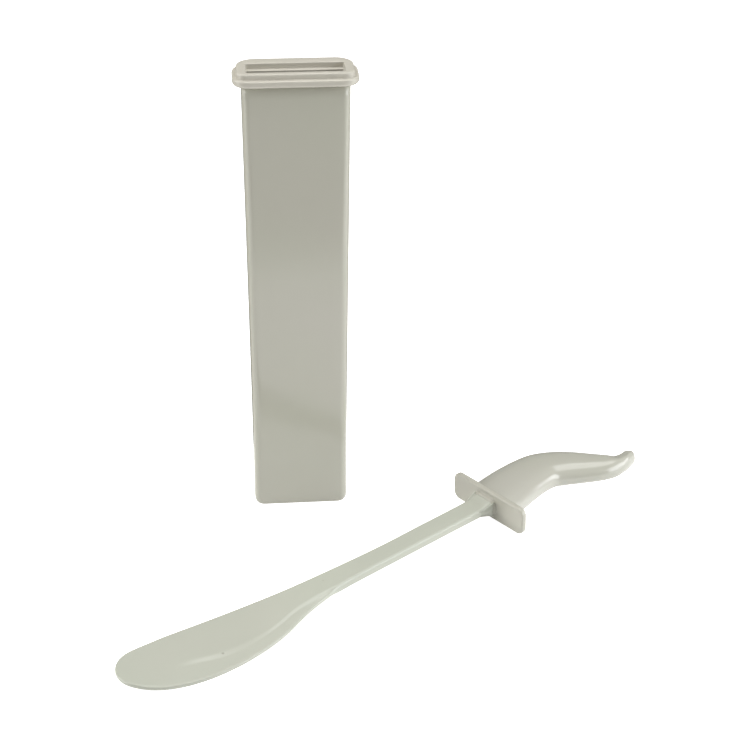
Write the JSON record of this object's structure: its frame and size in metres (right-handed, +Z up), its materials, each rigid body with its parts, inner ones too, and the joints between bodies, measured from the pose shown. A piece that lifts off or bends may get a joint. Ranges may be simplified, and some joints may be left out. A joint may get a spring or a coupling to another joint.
{
  "type": "bone folder with sheath",
  "caption": "Dagger-shaped paper-creasing folder with guard and bent handle, lying in front of its upright tapered sheath with a two-step collar.",
  "frame": {"origin": "centre of the sheath's foot, on the table", "axes": "+Z up along the sheath, X along the sheath's wide side, the sheath's front faces -Y; the folder lies in front, its handle towards +X"},
  "size_m": [0.1716, 0.1106, 0.1484],
  "materials": {
    "case_plastic": "gloss ivory grey",
    "collar_plastic": "gloss ivory",
    "blade_plastic": "satin ivory",
    "guard_plastic": "satin ivory",
    "handle_plastic": "pearly gloss ivory"
  },
  "bodies": {
    "sheath": {"sheath_case": "case_plastic", "sheath_collar": "collar_plastic"},
    "folder": {"blade": "blade_plastic", "guard": "guard_plastic", "handle": "handle_plastic"}
  },
  "joints": [
    {"name": "folder_lift", "type": "slide", "parent": "sheath", "child": "folder", "axis": [0, 0, 1], "range_m": [0, 0.165]}
  ]
}
